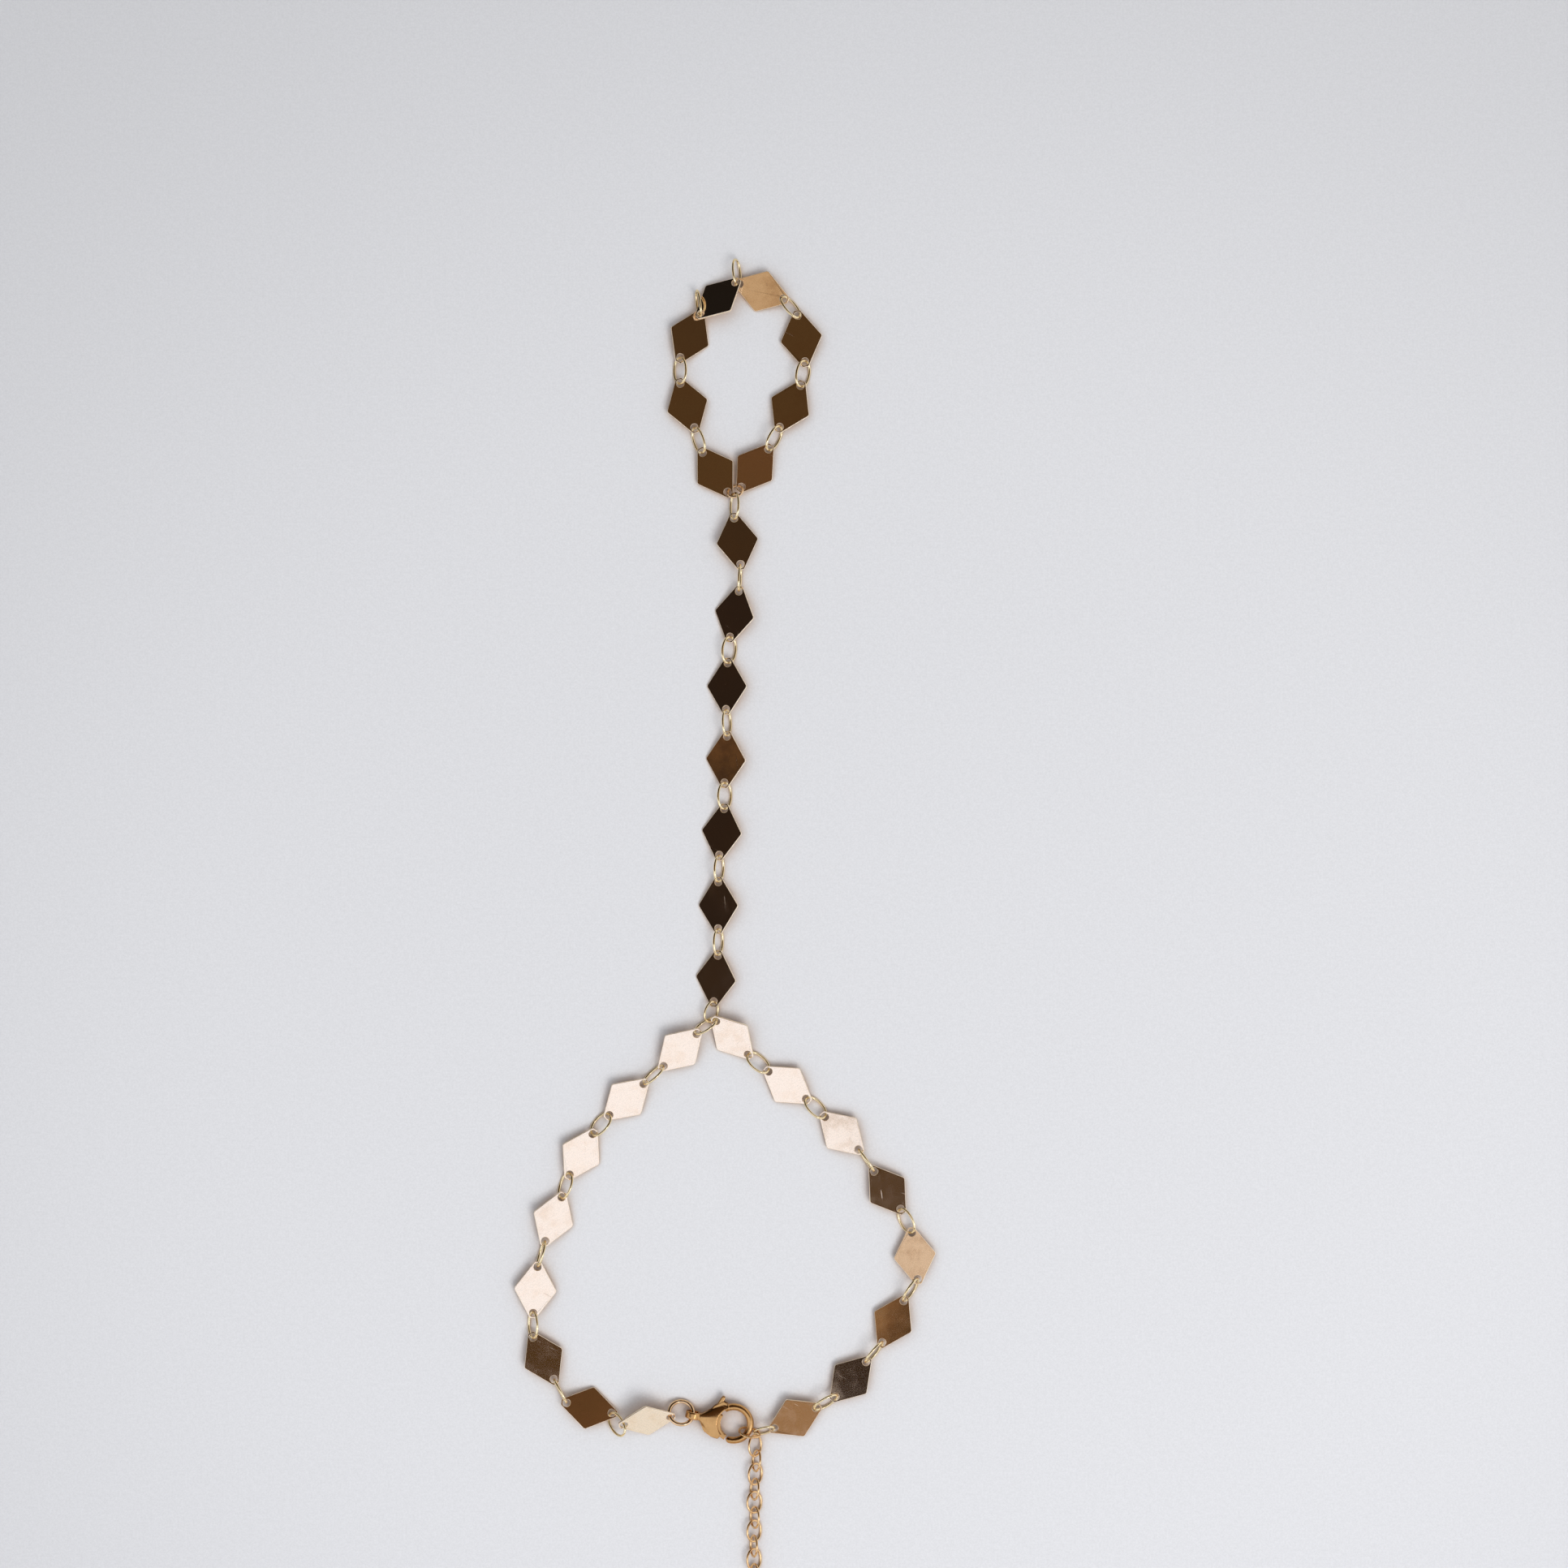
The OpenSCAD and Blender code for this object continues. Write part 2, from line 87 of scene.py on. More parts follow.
# The guesses that the axes of a loop of wire start from, and how often each is bettered
OUT_GUESS, OUT_STEPS = (0.3, 0.2, 1), 60
ALONG_GUESS, ALONG_STEPS = (1, 0.4, 0.1), 400

# What each gold adds to its own colour
WIRE_FINISH = {"worn": (0.88, 0.64, 0.31), "rough": 0.08, "ripple": 0.006 * MM, "marks": 0.6}
EXTENDER_FINISH = {"worn": (0.72, 0.42, 0.19), "rough": 0.12, "ripple": 0.006 * MM, "marks": 0.6}
RING_FINISH = {"worn": (0.80, 0.52, 0.26), "rough": 0.16, "ripple": 0.006 * MM, "marks": 0.6}
CLASP_FINISH = {"worn": (0.47, 0.24, 0.08), "rough": 0.22, "ripple": 0.008 * MM, "marks": 1.0}
PLATE_RIPPLE, PLATE_MARKS = 0.012 * MM, 1.0
# The paler gold that tints the plates' bevelled rims, a painted highlight that makes their edges
# read as bright outlines
RIM_HIGHLIGHT_GOLD = (1.0, 0.86, 0.64)

# Waves per metre of the gold's swell, toned patches, grain and specks
SWELL_WAVES, PATCH_WAVES, GRAIN_WAVES, SPECK_WAVES = 230, 520, 5200, 7000
# The parts of the noise where the gold is toned, and where it is specked, from none to full
TONED, SPECKED = (0.42, 0.72), (0.35, 0.75)
# How far each of them, the scratches and the rim change the colour, the roughness and the height;
# the rim's paler colour is a painted highlight
TONED_TINT, MARK_TINT, SPECK_TINT, RIM_HIGHLIGHT_TINT = 0.55, 0.25, 0.18, 0.8
SPECK_SHADE = 0.55
TONED_ROUGH, GRAIN_ROUGH, MARK_ROUGH, RIM_ROUGH = 0.04, 0.03, 0.22, 0.38
PATCH_HEIGHT, GRAIN_HEIGHT, MARK_HEIGHT = 0.12, 0.012, 0.02
# What is taken off the roughness, because the patches and the grain add as much on average
EVEN_ROUGH = 0.02

# Each run of scratches: its turn in degrees, how bare the gold between its patches is, and a shift
SCRATCHES = ((28, 0.52, 3.1), (-37, 0.56, 8.3), (84, 0.58, 5.7))
# Waves per metre of the lines and of their patches, and the shift along against that across
SCRATCH_WAVES, SCRATCH_PATCHES, SHIFT_ALONG = (90, 5200, 90), 420, 0.7
# The parts of the noise that are scratches, and how softly their patches end
SCRATCHED, PATCH_FADE = (0.70, 0.76), 0.12

# The ceiling's fields, in mm from the camera's axis: where each one starts and where it is full
DIFFUSER_NEAR, DIFFUSER_FAR = (-92, -106), (-560, -500)
RIGHT_LIGHT, RIGHT_TONE = (320, 430), 0.92
OUTER_LIGHT, OUTER_TONE = (640, 800), 0.82
CORNER_LEFT, CORNER_UP, CORNER_TONE = (40, 200), (150, 320), 0.12
# The ceiling's spots: across, along, the radius within which it is full, its end, and its tone
DARK_SPOTS = (
    (-50, -97, 20, 27, 1.0), (80, -106, 25, 33, 1.0), (-21, -84, 26, 34, 1.0),
    (-300, -100, 50, 80, 1.0), (60, -268, 16, 36, 0.48),
)
BRIGHT_SPOTS = ((30, -80, 12, 22, 0.84), (-132, -50, 12, 50, 0.69), (-345, -6, 10, 30, 0.35))
DIM_SPOTS = ((-55, -100, 10, 24, -0.12), (66, -30, 10, 50, 0.03), (113, 52, 20, 60, -0.08))
HOT_SPOT = (225, -235, 20, 60, 10.0)
# The dim rest of the ceiling, and what its clouds and its far, left and upper parts change
DIM_TONE, DIM_CLOUD = 0.31, 0.16
DIM_FAR, DIM_FAR_TONE = (60, 300), 0.10
DIM_LEFT, DIM_LEFT_TONE = (150, 270), 0.06
DIM_UP, DIM_UP_TONE = (200, 400), 0.12
# Waves per metre of the clouds, and how many mm they move the diffuser's near edge
CLOUD_WAVES, CLOUD_EDGE = 16, 14
# The colours of the ceiling's tones, and how much brighter than they say the brightest ones are
CEILING_COLOURS = (
    (0.0, (0.013, 0.011, 0.010)), (0.15, (0.024, 0.0155, 0.0115)), (0.30, (0.085, 0.049, 0.021)),
    (0.45, (0.21, 0.10, 0.048)), (0.6, (0.42, 0.29, 0.15)), (0.8, (0.76, 0.62, 0.48)),
    (1.0, (0.74, 0.81, 1.0)),
)
BRIGHTEST, BRIGHTEST_POWER = (0.85, 1.0), 0.42

# The far walls, the pale world behind them, and the sizes of the floor and the ceiling, in metres
WALL_COLOURS, WALL_WAVES = ((0.82, 0.90, 1.0), (0.95, 0.97, 1.0)), 6
WALL_AWAY, WALL_HEIGHT = 2.4, 0.5
WORLD_COLOUR, WORLD_POWER = (0.93, 0.95, 1.0, 1.0), 0.55
FLOOR_SIZE, CEILING_SIZE = 6.0, 4.6

# The floor board: waves per metre, the shade and the shares of its grain and weave, its polish
BOARD_GRAIN, BOARD_WEAVE = 4200, (1300, 1900, 1300)
BOARD_SHADE, GRAIN_SHARE, WEAVE_SHARE = 0.90, 0.75, 0.25
BOARD_ROUGH, BOARD_ROUGHER = 0.55, 0.1
BOARD_BUMP, BOARD_DEPTH = 0.3, 0.03 * MM
MIDTONES = (0.3, 0.7)
# Its darker outer part in metres from a middle, which is painted shade, and the warm painted
# contact shadow and gold bounce light close to the metal
SHADE_MIDDLE, SHADE_REACH, SHADE_DEPTH = (0.01, -0.03), (0.07, 0.18), 0.14
CONTACT_SHADE_COLOUR, CONTACT_SHADE_REACH, CONTACT_SHADE_SAMPLES = (0.38, 0.22, 0.105), 3.8 * MM, 8
CONTACT_SHADE_FADE, CONTACT_SHADE_DEPTH = (0.93, 0.35), 0.7

# Each lamp: its place from the middle of the picture, its width, its power and its colour
LAMPS = {
    "key_light": ((0.36, -0.46, 0.95), 0.58, 9.0, (1.0, 0.98, 0.95)),
    "fill_light": ((-0.3, 0.2, 1.1), 1.4, 4.0, (0.95, 0.97, 1.0)),
}
# The camera's sensor in mm, and how near and far it sees in metres
SENSOR_MM = 36.0
CLIP_NEAR, CLIP_FAR = 0.01, 20.0


class BraceletPlateSettings(bpy.types.PropertyGroup):
    """Size and colours of the diamond plates"""

    edge: bpy.props.FloatProperty(
        name="Edge bevel", description="Width of the bevel round a plate's rim and holes",
        default=0.10 * MM, min=0.01 * MM, max=0.12 * MM, unit="LENGTH", precision=5,
    )
    gold: bpy.props.FloatVectorProperty(
        name="Plate gold", description="Colour of the polished plates",
        default=(0.95, 0.76, 0.56), size=3, min=0, max=1, subtype="COLOR",
    )
    worn: bpy.props.FloatVectorProperty(
        name="Worn gold", description="Colour of the rubbed and toned patches",
        default=(0.90, 0.66, 0.44), size=3, min=0, max=1, subtype="COLOR",
    )
    roughness: bpy.props.FloatProperty(
        name="Polish", description="Roughness of the polished faces",
        default=0.075, min=0.02, max=0.6, subtype="FACTOR",
    )


class BraceletWireSettings(bpy.types.PropertyGroup):
    """Make and colours of the links and rings"""

    rings: bpy.props.IntProperty(
        name="Rings", description="Steps of wire in each quarter of a link",
        default=12, min=4, max=24,
    )
    sides: bpy.props.IntProperty(
        name="Roundness", description="Steps in each quarter of the wire's section",
        default=3, min=1, max=8,
    )
    swell: bpy.props.FloatProperty(
        name="Swell", description="Thickness of the wire against that of the solids",
        default=1.2, min=1.0, max=1.3, subtype="FACTOR",
    )
    gold: bpy.props.FloatVectorProperty(
        name="Wire gold", description="Colour of the links",
        default=(0.93, 0.77, 0.46), size=3, min=0, max=1, subtype="COLOR",
    )
    copper: bpy.props.FloatVectorProperty(
        name="Extender gold", description="Colour of the extender's redder links",
        default=(0.85, 0.56, 0.27), size=3, min=0, max=1, subtype="COLOR",
    )
    rose: bpy.props.FloatVectorProperty(
        name="Ring gold", description="Colour of the pinker round rings",
        default=(0.92, 0.65, 0.38), size=3, min=0, max=1, subtype="COLOR",
    )


class BraceletClaspSettings(bpy.types.PropertyGroup):
    """Make and colour of the clasp's body and lever"""

    grain: bpy.props.FloatProperty(
        name="Grain", description="Size of the faces that the cast clasp is made of",
        default=0.055 * MM, min=0.03 * MM, max=0.15 * MM, unit="LENGTH", precision=5,
    )
    eye: bpy.props.FloatVectorProperty(
        name="Eye", description="Middle of the clasp's eye",
        default=(-3.98 * MM, -59.67 * MM, 1.02 * MM), size=3, subtype="XYZ", unit="LENGTH",
    )
    hook: bpy.props.FloatVectorProperty(
        name="Hook", description="Middle of the clasp's opening",
        default=(1.01 * MM, -60.73 * MM, 1.02 * MM), size=3, subtype="XYZ", unit="LENGTH",
    )
    core: bpy.props.FloatProperty(
        name="Core", description="Half the thickness that stays flat, for the lever to swing in",
        default=0.36 * MM, min=0.1 * MM, max=0.6 * MM, unit="LENGTH", precision=5,
    )
    rounding: bpy.props.IntProperty(
        name="Rounding", description="How often the body is smoothed, and the lever half as often",
        default=32, min=0, max=60,
    )
    gold: bpy.props.FloatVectorProperty(
        name="Clasp gold", description="Colour of the clasp",
        default=(0.60, 0.33, 0.12), size=3, min=0, max=1, subtype="COLOR",
    )


class BraceletStageSettings(bpy.types.PropertyGroup):
    """The floor, the view and the height of what the gold mirrors"""

    floor: bpy.props.FloatVectorProperty(
        name="Floor", description="Colour of the pale floor",
        default=(0.60, 0.602, 0.618), size=3, min=0, max=1, subtype="COLOR",
    )
    camera_height: bpy.props.FloatProperty(
        name="Camera height", description="Height of the camera above the floor",
        default=0.402, min=0.2, max=1.0, unit="LENGTH",
    )
    view_width: bpy.props.FloatProperty(
        name="View width", description="Width of floor that the picture shows",
        default=0.1932, min=0.1, max=0.4, unit="LENGTH",
    )
    view_x: bpy.props.FloatProperty(
        name="View X", description="Middle of the picture on the floor, across",
        default=0.0072, unit="LENGTH",
    )
    view_y: bpy.props.FloatProperty(
        name="View Y", description="Middle of the picture on the floor, along",
        default=0.01787, unit="LENGTH",
    )
    ceiling: bpy.props.FloatProperty(
        name="Ceiling height", description="Height of the ceiling that the gold mirrors",
        default=0.40, min=0.2, max=1.0, unit="LENGTH",
    )


class Value:
    """A node's output that arithmetic can be done on, which adds Math nodes."""

    def __init__(self, net, socket):
        self.net = net
        self.socket = socket

    def _math(self, operation, other=None, clamp=False):
        settings = {"operation": operation, "use_clamp": clamp}
        return self.net.node("ShaderNodeMath", settings, {0: self, 1: other})

    def __add__(self, other):
        return self._math("ADD", other)

    __radd__ = __add__

    def __sub__(self, other):
        return self._math("SUBTRACT", other)

    def __rsub__(self, other):
        return (self * -1) + other

    def __mul__(self, other):
        return self._math("MULTIPLY", other)

    __rmul__ = __mul__

    def root(self):
        """Its square root."""
        return self._math("SQRT")

    def clamped(self):
        """Itself, kept between 0 and 1."""
        return self._math("ADD", 0.0, clamp=True)

    def most(self, other):
        """The greater of the two."""
        return self._math("MAXIMUM", other)

    def step(self, low, high):
        """0 below low, 1 above high and smooth between them; high may be the smaller."""
        return self.net.node(
            "ShaderNodeMapRange", {"interpolation_type": "SMOOTHSTEP"},
            {"Value": self, "From Min": low, "From Max": high},
        )


class Net:
    """The nodes of one material."""

    def __init__(self, tree):
        self.tree = tree

    def feed(self, place, value):
        """Links a value to a socket or sets it there, and leaves the socket alone for None."""
        if isinstance(value, Value):
            self.tree.links.new(value.socket, place)
        elif value is not None:
            place.default_value = (*value[:3], 1.0) if place.type == "RGBA" else value

    def node(self, kind, settings=None, inputs=None, out=0):
        """A node of that type, with its settings made first, then its inputs, and one output."""
        made = self.tree.nodes.new(kind)
        for name, value in (settings or {}).items():
            if name == "stops":
                elements = made.color_ramp.elements
                while len(elements) < len(value):
                    elements.new(0.5)
                for element, (position, colour) in zip(elements, value):
                    element.position = position
                    element.color = (*colour, 1.0)
            else:
                setattr(made, name, value)
        for name, value in (inputs or {}).items():
            self.feed(made.inputs[name], value)
        return Value(self, made.outputs[out])

    def mix(self, factor, one, two):
        """One colour at factor 0 and the other at 1."""
        return self.node("ShaderNodeMix", {"data_type": "RGBA"}, {0: factor, 6: one, 7: two}, 2)

    def scaled(self, colour, power):
        """A colour times a number."""
        return self.node(
            "ShaderNodeVectorMath", {"operation": "SCALE"}, {"Vector": colour, "Scale": power},
        )

    def place(self):
        """Where a point of the piece is, in metres."""
        return self.node("ShaderNodeTexCoord", out="Object")

    def split(self, place):
        """The parts x, y and z of a place."""
        apart = self.node("ShaderNodeSeparateXYZ", inputs={0: place})
        return [Value(self, part) for part in apart.socket.node.outputs]

    def mapped(self, place, scale=(1, 1, 1), turn=0.0, shift=(0, 0, 0)):
        """A place scaled, turned by some degrees and shifted, in that order."""
        return self.node("ShaderNodeMapping", inputs={
            "Vector": place, "Scale": scale, "Rotation": (0, 0, math.radians(turn)),
            "Location": shift,
        })

    def noise(self, place, waves, detail=3.0, rough=0.5):
        """Soft noise from 0 to 1, with so many waves a metre."""
        return self.node("ShaderNodeTexNoise", inputs={
            "Vector": place, "Scale": waves, "Detail": detail, "Roughness": rough,
        })

    def bump(self, strength, distance, height):
        """The normal that a height gives."""
        return self.node("ShaderNodeBump", inputs={
            "Strength": strength, "Distance": distance, "Height": height,
        }, out="Normal")


def new_material(name):
    """A new material, its net, and its Principled shader for the net to feed."""
    material = bpy.data.materials.new(name)
    material.use_nodes = True
    return material, Net(material.node_tree), material.node_tree.nodes["Principled BSDF"]


def scratches(net, place, turn, bare, seed):
    """Thin straight marks that run one way, as 0 to 1."""
    along = net.mapped(
        net.mapped(place, turn=turn), SCRATCH_WAVES, shift=(seed, seed * SHIFT_ALONG, 0),
    )
    fine = net.noise(along, 1.0, 1.0, 0.4)
    patch = net.noise(net.mapped(place, shift=(seed, 0, 0)), SCRATCH_PATCHES, 1.0)
    return fine.step(*SCRATCHED) * patch.step(bare, bare + PATCH_FADE)


def gold_material(name, gold, worn, rough, ripple, marks):
    """Polished plating with a faint ripple, toned patches, specks, scratches and a rim tinted paler
    gold as a painted highlight.
    """
    material, net, shader = new_material(name)
    place = net.place()
    swell = net.noise(place, SWELL_WAVES, 2.0)
    patch = net.noise(place, PATCH_WAVES, 3.0, 0.6)
    grain = net.noise(place, GRAIN_WAVES, 2.0)
    speck = net.noise(place, SPECK_WAVES, 2.0, 0.7)
    first, second, third = (scratches(net, place, *run) for run in SCRATCHES)
    marked = first.most(second).most(third) * marks
    toned = patch.step(*TONED)
    rim = net.node("ShaderNodeAttribute", {"attribute_name": "rim"}, out="Fac")
    colour = net.mix(toned * TONED_TINT + marked * MARK_TINT, gold, worn)
    dark = tuple(c * SPECK_SHADE for c in worn)
    colour = net.mix(speck.step(*SPECKED) * SPECK_TINT, colour, dark)
    # Painted highlight: the rim is tinted a paler gold so that the plates' edges read bright
    colour = net.mix(rim * RIM_HIGHLIGHT_TINT, colour, RIM_HIGHLIGHT_GOLD)
    uneven = toned * TONED_ROUGH + grain * GRAIN_ROUGH + marked * MARK_ROUGH + rim * RIM_ROUGH
    height = swell + patch * PATCH_HEIGHT + grain * GRAIN_HEIGHT - marked * MARK_HEIGHT
    net.feed(shader.inputs["Base Color"], colour)
    net.feed(shader.inputs["Metallic"], 1.0)
    net.feed(shader.inputs["Roughness"], (uneven + (rough - EVEN_ROUGH)).clamped())
    net.feed(shader.inputs["Normal"], net.bump(1.0, ripple, height))
    return material


def deselect():
    """Leaves nothing selected, so that an operator acts on its own piece alone."""
    if bpy.context.object and bpy.context.object.mode != "OBJECT":
        bpy.ops.object.mode_set(mode="OBJECT")
    bpy.ops.object.select_all(action="DESELECT")


def pick(piece):
    """Selects one piece alone and makes it the active one."""
    deselect()
    piece.select_set(True)
    bpy.context.view_layer.objects.active = piece


def copy_of(node, name):
    """A copy of a CAD node's mesh, merged, its flat faces joined and then cut again into even
    triangles.
    """
    piece = bpy.data.objects.new(name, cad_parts[node].data.copy())
    bpy.context.scene.collection.objects.link(piece)
    pick(piece)
    bpy.ops.object.mode_set(mode="EDIT")
    bpy.ops.mesh.select_all(action="SELECT")
    bpy.ops.mesh.remove_doubles(threshold=WELD)
    bpy.ops.mesh.dissolve_limited(angle_limit=math.radians(FLAT_TURN))
    bpy.ops.mesh.select_all(action="SELECT")
    bpy.ops.mesh.quads_convert_to_tris(quad_method="BEAUTY", ngon_method="BEAUTY")
    bpy.ops.object.mode_set(mode="OBJECT")
    return piece


def bevelled(piece, width):
    """Rounds the sharp edges."""
    pick(piece)
    bevel = piece.modifiers.new("Edge", "BEVEL")
    bevel.width = width
    bevel.segments = BEVEL_STEPS
    bevel.limit_method = "ANGLE"
    bevel.angle_limit = math.radians(BEVEL_TURN)
    bevel.use_clamp_overlap = True
    bpy.ops.object.modifier_apply(modifier=bevel.name)
    bpy.ops.object.shade_smooth()


def cast(piece, grain, rounding):
    """Melts a piece's sharp edges into the soft shape of a casting."""
    pick(piece)
    melt = piece.modifiers.new("Cast", "REMESH")
    melt.mode = "VOXEL"
    melt.voxel_size = grain
    bpy.ops.object.modifier_apply(modifier=melt.name)
    soften = piece.modifiers.new("Soften", "SMOOTH")
    soften.factor = SOFTENING
    soften.iterations = rounding
    bpy.ops.object.modifier_apply(modifier=soften.name)
    bpy.ops.object.shade_smooth()


def share_of(start, end, value):
    """How far a value has come from start to end, kept between 0 and 1."""
    return min(max((value - start) / (end - start), 0.0), 1.0)


def smooth_share(start, end, value):
    """The same, but soft at both ends."""
    share = share_of(start, end, value)
    return share * share * (3 - 2 * share)


def dome(piece, eye, hook, core):
    """Rounds the body outside its flat core, from the clasp's neck to its opening."""
    eye, hook = Vector(eye), Vector(hook)
    along = (hook - eye).normalized()
    aside = Vector((-along.y, along.x, 0))
    for vertex in piece.data.vertices:
        reached = vertex.co - eye
        ahead = reached.dot(along)
        spread = share_of(NECK, NECK + FLARE, ahead)
        off = reached.dot(aside) - RIDGE * spread
        wide = DOME_WIDTH + (UPPER_FLARE if off > 0 else LOWER_FLARE) * spread
        curve = max(DOME_FOOT, 1 - (off / wide) ** 2)
        share = smooth_share(*DOME_BEGINS, ahead) * (1 - smooth_share(*DOME_ENDS, ahead))
        outer = max(abs(reached.z) - core, 0.0)
        vertex.co.z -= math.copysign(outer * (1 - curve) * share, reached.z)
    piece.data.update()


def mark_rim(piece):
    """Keeps a plate's two flat sides flat, and marks all its other faces as the rim, which the gold
    tints paler as a painted highlight.
    """
    mesh = piece.data
    flat = max(mesh.polygons, key=lambda face: face.area).normal.copy()
    rim = mesh.attributes.new("rim", "FLOAT", "FACE")
    for face in mesh.polygons:
        face.use_smooth = abs(face.normal.dot(flat)) < FLAT_COSINE
        rim.data[face.index].value = 1.0 if face.use_smooth else 0.0


def dress(piece, material, slot, body, *nodes):
    """Gives a finished piece its material, its body and the CAD nodes that it stands for."""
    piece.data.materials.clear()
    piece.data.materials.append(material)
    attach(piece, body)
    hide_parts(*nodes)


def loose_parts(node):
    """The points of each loose solid in a CAD node, in order along Y."""
    mesh = bmesh.new()
    mesh.from_mesh(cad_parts[node].data)
    bmesh.ops.remove_doubles(mesh, verts=mesh.verts, dist=WELD)
    left, parts = set(mesh.verts), []
    for seed in mesh.verts:
        if seed not in left:
            continue
        left.remove(seed)
        group, edge = [seed], [seed]
        while edge:
            vertex = edge.pop()
            for line in vertex.link_edges:
                other = line.other_vert(vertex)
                if other in left:
                    left.remove(other)
                    group.append(other)
                    edge.append(other)
        parts.append([v.co.copy() for v in group])
    mesh.free()
    return sorted(parts, key=lambda p: (round(sum(v.y for v in p) / len(p), 5), len(p)))


def axes_of(points):
    """The middle of a flat loop or plate, its three axes from long to short, and its half sizes."""
    middle = sum(points, Vector()) / len(points)
    spread = Matrix(((0, 0, 0), (0, 0, 0), (0, 0, 0)))
    for point in points:
        away = point - middle
        for i in range(3):
            for j in range(3):
                spread[i][j] += away[i] * away[j]
    out = Vector(OUT_GUESS).normalized()
    inverse = spread.inverted()
    for _ in range(OUT_STEPS):
        out = (inverse @ out).normalized()
    along = Vector(ALONG_GUESS)
    for _ in range(ALONG_STEPS):
        along = spread @ along
        along = (along - along.dot(out) * out).normalized()
    side = out.cross(along)
    half = [max(abs((p - middle).dot(axis)) for p in points) for axis in (along, side, out)]
    return middle, along, side, out, half


def wire_loop(points, settings, swell):
    """A closed oval of round wire where one loose CAD link lies."""
    middle, along, side, out, half = axes_of(points)
    if out.z < 0:
        out, side = -out, -side
    radius = half[2] * swell
    deselect()
    bpy.ops.curve.primitive_bezier_circle_add(radius=1.0, location=(0, 0, 0))
    bpy.ops.object.mode_set(mode="EDIT")
    bpy.ops.curve.select_all(action="SELECT")
    bpy.ops.transform.resize(value=(half[0] - radius, half[1] - radius, 1.0))
    bpy.ops.object.mode_set(mode="OBJECT")
    curve = bpy.context.object.data
    curve.dimensions = "3D"
    curve.bevel_depth = radius
    curve.bevel_resolution = settings.sides
    curve.resolution_u = settings.rings
    bpy.ops.object.convert(target="MESH")
    loop = bpy.context.object
    turn = Matrix((along, side, out)).transposed().to_4x4()
    loop.data.transform(Matrix.Translation(middle) @ turn)
    return loop


def wired(node, settings, swell):
    """A CAD node's links as one piece of round wire."""
    loops = [wire_loop(points, settings, swell) for points in loose_parts(node)]
    deselect()
    for loop in loops:
        loop.select_set(True)
    bpy.context.view_layer.objects.active = loops[0]
    if len(loops) > 1:
        bpy.ops.object.join()
    piece = bpy.context.object
    piece.name = node + "_wire"
    pick(piece)
    bpy.ops.object.shade_smooth()
    return piece


def rolled(piece, degrees):
    """Turns a thin plate a little about the line between its holes, and keeps it off the floor."""
    vertices = piece.data.vertices
    middle, along, *_ = axes_of([v.co.copy() for v in vertices])
    low = min(v.co.z for v in vertices)
    piece.data.transform(
        Matrix.Translation(middle) @ Matrix.Rotation(math.radians(degrees), 4, along)
        @ Matrix.Translation(-middle)
    )
    sunk = low - min(v.co.z for v in vertices)
    if sunk > 0:
        piece.data.transform(Matrix.Translation((0, 0, sunk)))


class BRACELET_OT_plates(bpy.types.Operator):
    """Make the thin diamond plates with their bevelled rims and holes"""

    bl_idname = "bracelet.plates"
    bl_label = "Make Plates"

    def execute(self, context):
        settings = context.scene.bracelet_plates
        gold = gold_material(
            "plate_gold", settings.gold, settings.worn, settings.roughness,
            PLATE_RIPPLE, PLATE_MARKS,
        )
        for node in PLATES:
            plate = copy_of(node, node.replace("_plate_", "_diamond_"))
            if node in ROLLS:
                rolled(plate, ROLLS[node])
            bevelled(plate, settings.edge)
            mark_rim(plate)
            dress(plate, gold, "plates", ROOT, node)
        return {"FINISHED"}


class BRACELET_OT_links(bpy.types.Operator):
    """Make the oval links of round wire"""

    bl_idname = "bracelet.links"
    bl_label = "Make Links"

    def execute(self, context):
        settings = context.scene.bracelet_wire
        gold = gold_material("wire_gold", settings.gold, **WIRE_FINISH)
        copper = gold_material("extender_gold", settings.copper, **EXTENDER_FINISH)
        for node in WIRE_NODES:
            piece = wired(node, settings, settings.swell)
            dress(piece, copper if node in REDDER_NODES else gold, "links", ROOT, node)
        return {"FINISHED"}


class BRACELET_OT_rings(bpy.types.Operator):
    """Make the small junction ring and the thick jump ring"""

    bl_idname = "bracelet.rings"
    bl_label = "Make Rings"

    def execute(self, context):
        settings = context.scene.bracelet_wire
        rose = gold_material("ring_gold", settings.rose, **RING_FINISH)
        for node in RING_NODES:
            piece = wired(node, settings, 1.0 if node == TRUE_RING else settings.swell)
            dress(piece, rose, "links", ROOT, node)
        return {"FINISHED"}


class BRACELET_OT_clasp(bpy.types.Operator):
    """Make the cast lobster clasp's body and its sprung lever"""

    bl_idname = "bracelet.clasp"
    bl_label = "Make Clasp"

    def execute(self, context):
        settings = context.scene.bracelet_clasp
        gold = gold_material("clasp_gold", settings.gold, **CLASP_FINISH)
        body = copy_of("clasp_body", "clasp_body_cast")
        cast(body, settings.grain, settings.rounding)
        dome(body, settings.eye, settings.hook, settings.core)
        dress(body, gold, "clasp", ROOT, "clasp_body")
        lever = copy_of("clasp_lever", "clasp_lever_cast")
        cast(lever, settings.grain * LEVER_GRAIN, settings.rounding // 2)
        dress(lever, gold, "clasp", "lever", "clasp_lever")
        return {"FINISHED"}


def reach(x, y, across, along):
    """How far a point is from a place, in the unit of its x and y."""
    return ((x - across) * (x - across) + (y - along) * (y - along)).root()


def spot(x, y, across, along, inner, outer, tone):
    """A tone on the ceiling, full within the inner radius and gone past the outer one."""
    return reach(x, y, across, along).step(outer, inner) * tone


def shine(net, shader, colour):
    """Lets a material give light in place of its surface; the colour may be brighter than white."""
    nodes = net.tree.nodes
    nodes.remove(shader)
    light = net.node("ShaderNodeEmission", inputs={"Color": colour, "Strength": 1.0})
    net.feed(nodes["Material Output"].inputs["Surface"], light)


